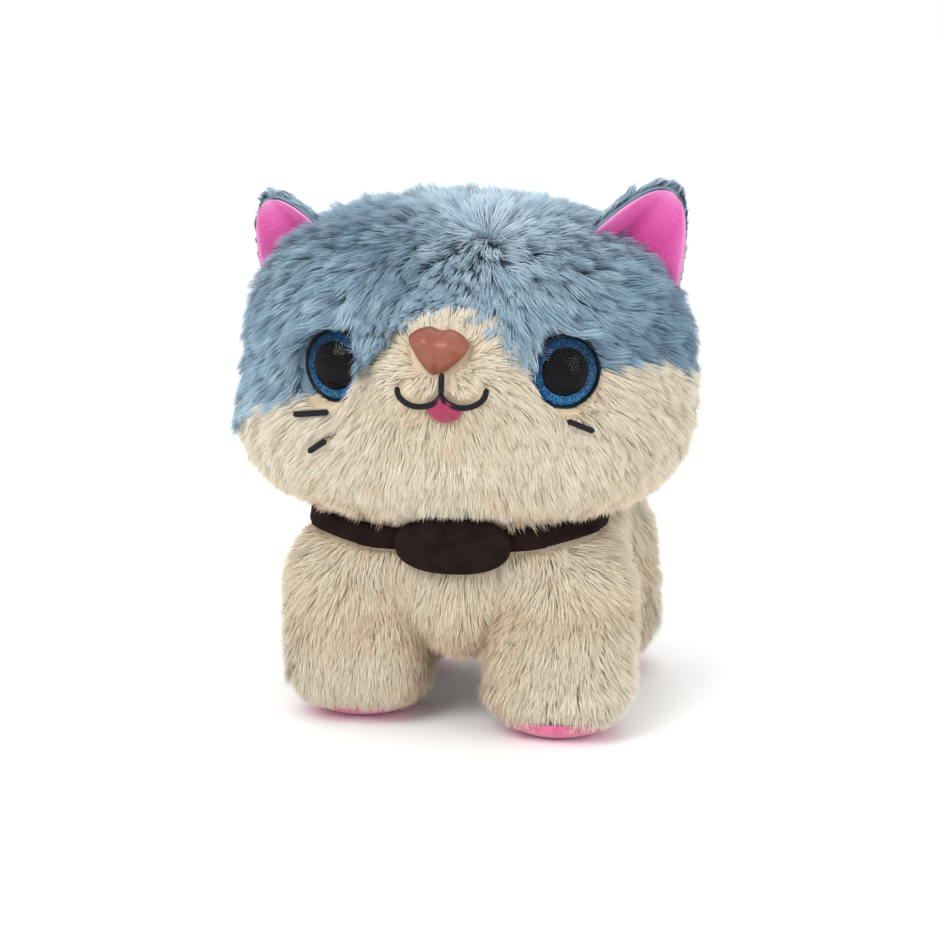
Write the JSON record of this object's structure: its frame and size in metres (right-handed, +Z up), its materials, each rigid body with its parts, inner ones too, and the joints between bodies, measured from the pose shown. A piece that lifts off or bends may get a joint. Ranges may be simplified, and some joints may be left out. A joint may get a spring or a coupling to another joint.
{
  "type": "interactive plush pet",
  "caption": "Walking plush kitten with a big round head, swinging legs, nodding head, wagging tail and hidden touch buttons over a geared crank drive.",
  "frame": {"origin": "on the floor under the middle of the outline", "axes": "+Z up, the kitten faces -Y, +X is its left side"},
  "size_m": [0.148, 0.19, 0.1745],
  "materials": {
    "blue_plush": "long soft pile",
    "cream_plush": "long soft pile",
    "pink_lining": "short pile",
    "sole_fabric": "short pile",
    "collar_fabric": "brushed",
    "thread": "embroidered",
    "tongue_felt": "felt",
    "nose_plastic": "satin",
    "eye_clear": "clear polished",
    "eye_paint": "metallic glitter",
    "eye_black": "gloss",
    "chassis_plastic": "moulded",
    "door_plastic": "moulded",
    "gear_plastic": "moulded",
    "steel": "bright",
    "cell_jacket": "gloss",
    "board": "solder mask",
    "component": "moulded"
  },
  "bodies": {
    "torso": {"torso_plush": "cream_plush", "chassis_left_half": "chassis_plastic", "chassis_right_half": "chassis_plastic", "chassis_screws": "steel", "hip_pins": "steel", "battery_cells": "cell_jacket", "battery_contacts": "steel", "motor_can": "steel", "circuit_board": "board", "board_components": "component", "speaker": "component", "switch_housing": "component", "neck_post": "chassis_plastic", "collar_strap": "collar_fabric", "collar_medallion": "collar_fabric", "tail_bracket": "steel"},
    "battery_door": {"battery_door": "door_plastic", "door_screw": "steel"},
    "power_switch": {"power_switch_slider": "component"},
    "back_button": {"back_button": "gear_plastic"},
    "crank": {"crankshaft": "steel", "crank_gear": "gear_plastic", "crank_discs": "gear_plastic"},
    "idler": {"idler_gear": "gear_plastic", "idler_shaft": "steel"},
    "pinion": {"motor_pinion": "gear_plastic", "motor_shaft": "steel"},
    "head": {"crown_plush": "blue_plush", "face_plush": "cream_plush", "head_skull": "chassis_plastic", "neck_pin": "steel", "ear_left_back": "blue_plush", "ear_right_back": "blue_plush", "ear_left_lining": "pink_lining", "ear_right_lining": "pink_lining", "eye_left_dome": "eye_clear", "eye_right_dome": "eye_clear", "eye_left_iris": "eye_paint", "eye_right_iris": "eye_paint", "eye_stems": "eye_black", "lock_washers": "gear_plastic", "nose": "nose_plastic", "mouth_stitching": "thread", "whisker_stitching": "thread", "tongue": "tongue_felt"},
    "head_button": {"head_button": "gear_plastic"},
    "tail": {"tail_plush": "blue_plush", "tail_lever": "gear_plastic"},
    "leg_front_left": {"leg_front_left_plush": "cream_plush", "leg_front_left_link": "gear_plastic", "leg_front_left_sole": "sole_fabric"},
    "leg_front_right": {"leg_front_right_plush": "cream_plush", "leg_front_right_link": "gear_plastic", "leg_front_right_sole": "sole_fabric"},
    "leg_back_left": {"leg_back_left_plush": "cream_plush", "leg_back_left_link": "gear_plastic", "leg_back_left_sole": "sole_fabric"},
    "leg_back_right": {"leg_back_right_plush": "cream_plush", "leg_back_right_link": "gear_plastic", "leg_back_right_sole": "sole_fabric"}
  },
  "joints": [
    {"name": "leg_front_left_swing", "type": "hinge", "parent": "torso", "child": "leg_front_left", "pos_m": [0.034, -0.053, 0.046], "axis": [1, 0, 0], "range_deg": [0, 20]},
    {"name": "leg_front_right_swing", "type": "hinge", "parent": "torso", "child": "leg_front_right", "pos_m": [-0.034, -0.053, 0.046], "axis": [1, 0, 0], "range_deg": [-20, 0]},
    {"name": "leg_back_left_swing", "type": "hinge", "parent": "torso", "child": "leg_back_left", "pos_m": [0.034, 0.017, 0.046], "axis": [1, 0, 0], "range_deg": [-20, 0]},
    {"name": "leg_back_right_swing", "type": "hinge", "parent": "torso", "child": "leg_back_right", "pos_m": [-0.034, 0.017, 0.046], "axis": [1, 0, 0], "range_deg": [0, 20]},
    {"name": "crank_spin", "type": "hinge", "parent": "torso", "child": "crank", "pos_m": [0, -0.018, 0.046], "axis": [1, 0, 0], "continuous": true},
    {"name": "idler_spin", "type": "hinge", "parent": "torso", "child": "idler", "pos_m": [0, -0.00409, 0.04973], "axis": [1, 0, 0], "continuous": true},
    {"name": "pinion_spin", "type": "hinge", "parent": "torso", "child": "pinion", "pos_m": [0, 0.00842, 0.05556], "axis": [1, 0, 0], "continuous": true},
    {"name": "head_nod", "type": "hinge", "parent": "torso", "child": "head", "pos_m": [0, -0.026, 0.108], "axis": [1, 0, 0], "range_deg": [-8, 2.5]},
    {"name": "tail_wag", "type": "hinge", "parent": "torso", "child": "tail", "pos_m": [0, 0.046, 0.078], "axis": [0, 0, 1], "range_deg": [-20, 20]},
    {"name": "head_button_press", "type": "slide", "parent": "head", "child": "head_button", "axis": [0, 0, -1], "range_m": [0, 0.0015], "stiffness_N_per_m": 300, "springref_m": -0.001},
    {"name": "back_button_press", "type": "slide", "parent": "torso", "child": "back_button", "axis": [0, 0, -1], "range_m": [0, 0.0015], "stiffness_N_per_m": 300, "springref_m": -0.001},
    {"name": "battery_door_pull", "type": "slide", "parent": "torso", "child": "battery_door", "axis": [0, 0, -1], "range_m": [0, 0.012]},
    {"name": "power_switch_slide", "type": "slide", "parent": "torso", "child": "power_switch", "axis": [0, 1, 0], "range_m": [0, 0.0025]}
  ],
  "couplings": [
    {"joint": "leg_front_right_swing", "follows": "leg_front_left_swing", "ratio": -1},
    {"joint": "leg_back_left_swing", "follows": "leg_front_left_swing", "ratio": -1},
    {"joint": "leg_back_right_swing", "follows": "leg_front_left_swing", "ratio": 1},
    {"joint": "idler_spin", "follows": "crank_spin", "ratio": -3},
    {"joint": "pinion_spin", "follows": "crank_spin", "ratio": 8.5}
  ]
}
